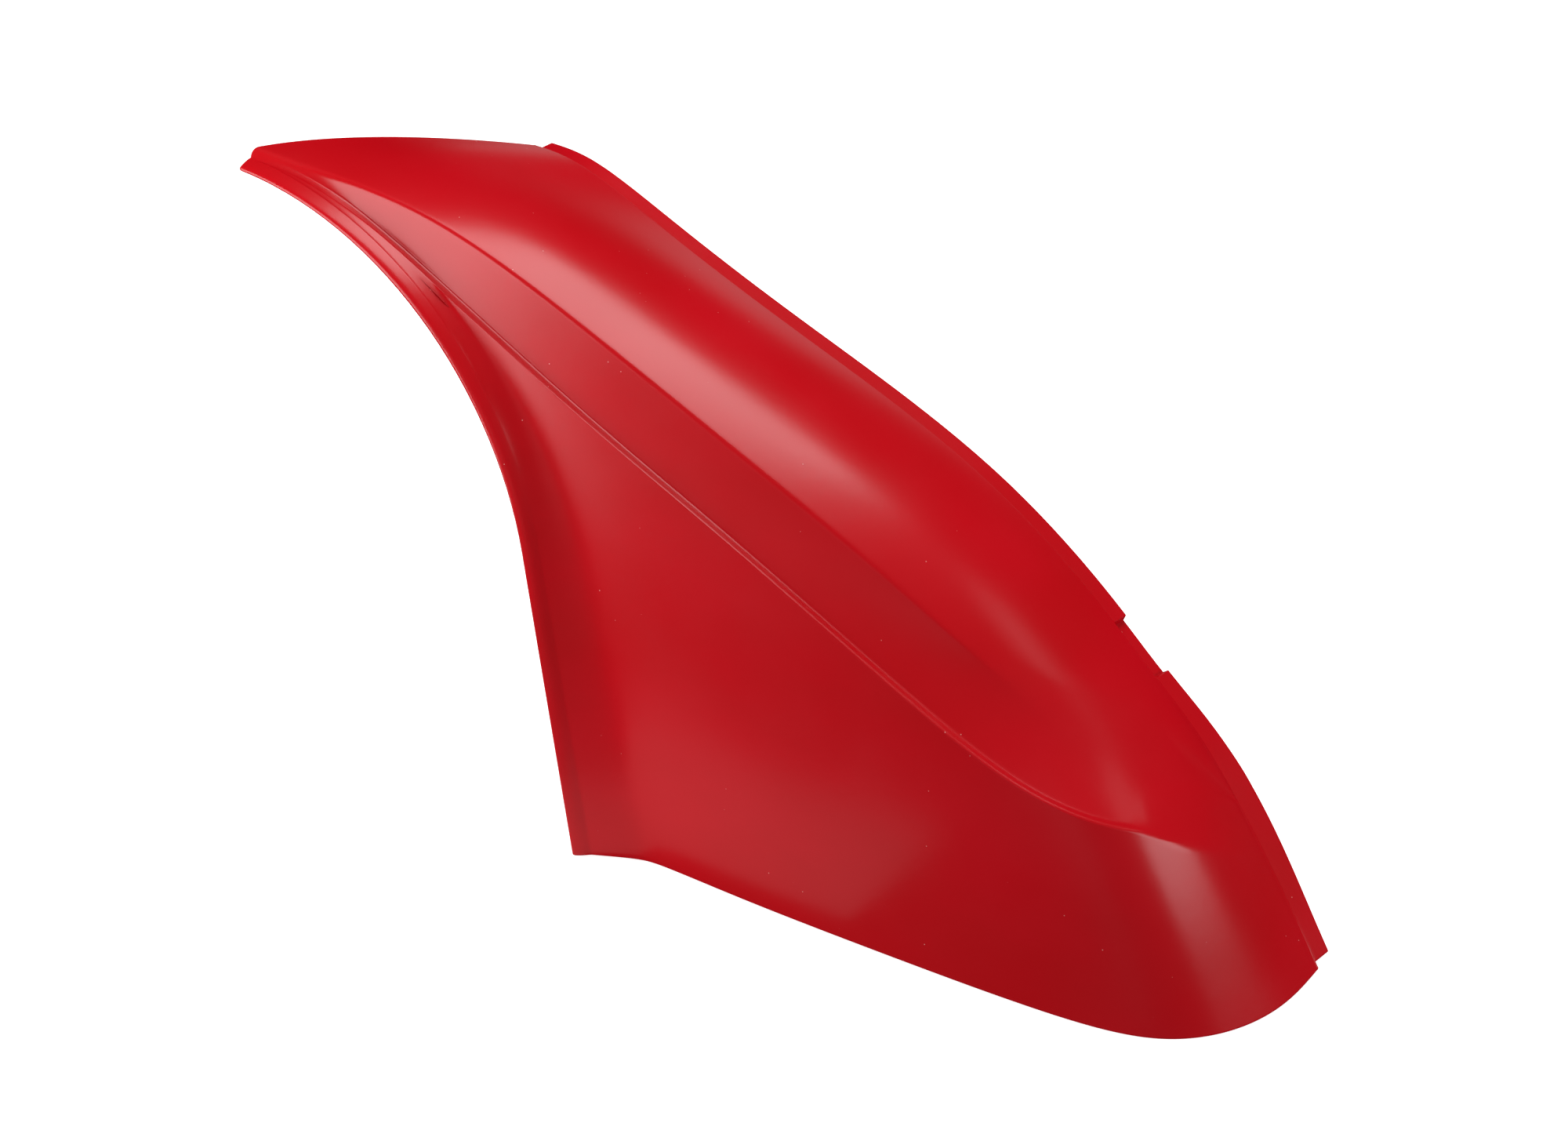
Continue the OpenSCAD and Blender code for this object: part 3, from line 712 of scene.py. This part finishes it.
def softFinish(name, color, bloom, rough, grainScale, depth, through=0.0):
    mat, nodes, links, bsdf = startMaterial(name, color, rough[0])
    patches = spread(nodes, links, patchyNoise(nodes, links, 90.0, 4.0), 0.42, 0.75)
    links.new(tinted(nodes, links, patches, color, bloom), bsdf.inputs["Base Color"])
    texture = patchyNoise(nodes, links, grainScale, 3.0)
    links.new(spread(nodes, links, texture, 0.3, 0.7, *rough), bsdf.inputs["Roughness"])
    links.new(addBump(nodes, links, texture, depth), bsdf.inputs["Normal"])
    bsdf.inputs["Subsurface Weight"].default_value = through
    bsdf.inputs["Subsurface Scale"].default_value = lightDepth
    return mat


finishes = {slot: metalFinish(**look) for slot, look in metals.items()}
finishes.update({slot: softFinish(**look) for slot, look in softs.items()})


def coatNodes():
    for part in frame["record"]["subparts"]:
        finish = finishes.get(part["material_slot"])
        if finish:
            for place in frame["nodes"][part["node"]].material_slots:
                place.material = finish


skin = addSkin()
skin.data.materials.append(moldedRed())
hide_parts("wing_shell")
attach(skin, "wing")
print("skin:", len(skin.data.vertices), "points,", len(skin.data.polygons), "faces")
coatNodes()
print("hardware coated with", len(finishes), "finishes")

# Threads on the bonded studs and knurls on the pin heads: sizes in mm, seats along and
# across the deck or the skirt
stud = {
    "deckSeats": [(0.35, 0.35), (0.5, 0.46)],
    "deckLean": (24.5, 29.3),
    "skirtSeat": (0.26, 0.25),
    "gap": 42.0,
    "threadFrom": 17.6,
    "threadHeight": 3.0,
    "threadRadius": 2.95,
    "pitch": 1.0,
    "ridge": 0.3,
}
knurl = {
    "headRadius": 9.0,
    "headFront": -7.3,
    "length": 4.4,
    "ridge": 0.28,
    "count": 72,
    "clearOfBail": 2.2,
}


def addTree(name, sizes):
    tree = bpy.data.node_groups.new(name, "GeometryNodeTree")
    tree.interface.new_socket(name="Geometry", in_out="INPUT", socket_type="NodeSocketGeometry")
    for size in sizes:
        tree.interface.new_socket(name=size, in_out="INPUT", socket_type="NodeSocketFloat")
    tree.interface.new_socket(name="Geometry", in_out="OUTPUT", socket_type="NodeSocketGeometry")
    return tree, tree.nodes, tree.links, tree.nodes.new("NodeGroupInput")


def finishTree(nodes, links, start, shape, material):  # one shape on every point, turned
    turn = addNode(nodes, "GeometryNodeInputNamedAttribute", {"Name": "turn"})
    turn.data_type = "FLOAT_VECTOR"
    place = nodes.new("GeometryNodeInstanceOnPoints")
    links.new(start.outputs["Geometry"], place.inputs["Points"])
    links.new(shape, place.inputs["Instance"])
    links.new(turn.outputs["Attribute"], place.inputs["Rotation"])
    real = nodes.new("GeometryNodeRealizeInstances")
    links.new(place.outputs["Instances"], real.inputs["Geometry"])
    coat = addNode(nodes, "GeometryNodeSetMaterial", {"Material": material})
    links.new(real.outputs["Geometry"], coat.inputs["Geometry"])
    end = nodes.new("NodeGroupOutput")
    links.new(coat.outputs["Geometry"], end.inputs["Geometry"])


def threadTree(material):
    tree, nodes, links, start = addTree("stud_thread", ["Radius", "Height", "Turns", "Ridge"])
    spiral = addNode(nodes, "GeometryNodeCurveSpiral", {"Resolution": 24})
    links.new(start.outputs["Radius"], spiral.inputs["Start Radius"])
    links.new(start.outputs["Radius"], spiral.inputs["End Radius"])
    links.new(start.outputs["Height"], spiral.inputs["Height"])
    links.new(start.outputs["Turns"], spiral.inputs["Rotations"])
    section = addNode(nodes, "GeometryNodeCurvePrimitiveCircle", {"Resolution": 4})
    links.new(start.outputs["Ridge"], section.inputs["Radius"])
    sweep = addNode(nodes, "GeometryNodeCurveToMesh", {"Fill Caps": True})
    links.new(spiral.outputs["Curve"], sweep.inputs["Curve"])
    links.new(section.outputs["Curve"], sweep.inputs["Profile Curve"])
    finishTree(nodes, links, start, sweep.outputs["Mesh"], material)
    return tree


def knurlTree(material):
    tree, nodes, links, start = addTree("head_knurl", ["Length", "Ridge"])
    bar = addNode(nodes, "GeometryNodeMeshCylinder", {"Vertices": 6})
    links.new(start.outputs["Length"], bar.inputs["Depth"])
    links.new(start.outputs["Ridge"], bar.inputs["Radius"])
    finishTree(nodes, links, start, bar.outputs["Mesh"], material)
    return tree


def grown(name, tree, points, turns, sizes):
    mesh = bpy.data.meshes.new(name)
    mesh.from_pydata([tuple(p) for p in points], [], [])
    turn = mesh.attributes.new("turn", "FLOAT_VECTOR", "POINT")
    turn.data.foreach_set("vector", np.array(turns, np.float32).ravel())
    obj = bpy.data.objects.new(name, mesh)
    scene.collection.objects.link(obj)
    modifier = obj.modifiers.new(name, "NODES")
    modifier.node_group = tree
    for item in tree.interface.items_tree:
        if item.name in sizes:
            modifier[item.identifier] = sizes[item.name]
    evaluated = obj.evaluated_get(bpy.context.evaluated_depsgraph_get())
    plain = bpy.data.meshes.new_from_object(evaluated)
    obj.modifiers.clear()
    obj.data = plain
    return obj


def studBases():  # where each pair of studs stands, and how it is turned
    skinDepth = panel["skin"]
    for (u, f), lean in zip(stud["deckSeats"], stud["deckLean"]):
        a = math.radians(lean)
        inward = np.array([math.sin(a), 0.0, math.cos(a)])
        yield deck(np.array(u), np.array(f)) - skinDepth * inward, Euler((math.pi, a, 0.0))
    u, v = stud["skirtSeat"]
    seat = skirt(np.array(u), np.array(v)) + skinDepth * np.array([0.0, 1.0, 0.0])
    yield seat, Euler((-0.5 * math.pi, 0.0, 0.0))


def addThreads():
    points, turns = [], []
    for seat, turn in studBases():
        for side in (-0.5, 0.5):
            foot = Vector((side * stud["gap"], 0.0, stud["threadFrom"]))
            foot.rotate(turn)
            points.append((seat + np.array(panel["shift"]) + np.array(foot)) * mm)
            turns.append(tuple(turn))
    sizes = {"Radius": stud["threadRadius"] * mm, "Height": stud["threadHeight"] * mm,
             "Turns": stud["threadHeight"] / stud["pitch"], "Ridge": stud["ridge"] * mm}
    threads = grown("stud_threads", threadTree(finishes["stud_steel"]), points, turns, sizes)
    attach(threads, "wing")


def addKnurls():
    tree = knurlTree(finishes["pin_steel"])
    sizes = {"Length": knurl["length"] * mm, "Ridge": knurl["ridge"] * mm}
    for joint in frame["joints"]:
        if not joint["name"].endswith("_pin_turn"):
            continue
        centre = np.array(joint["pos_m"])
        middle = (knurl["headFront"] + 0.5 * knurl["length"]) * mm
        points, turns = [], []
        for k in range(knurl["count"]):
            a = 2 * math.pi * k / knurl["count"]
            rim = knurl["headRadius"] * np.array([math.cos(a), 0.0, math.sin(a)])
            if min(abs(rim[0]), abs(rim[2])) > knurl["clearOfBail"]:
                points.append(centre + rim * mm + np.array([0.0, middle, 0.0]))
                turns.append((0.5 * math.pi, -a, 0.0))
        name = joint["name"].replace("_pin_turn", "_head_knurl")
        piece = grown(name, tree, points, turns, sizes)
        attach(piece, joint["child"])


addThreads()
print("stud threads made")
addKnurls()
print("pin heads knurled")
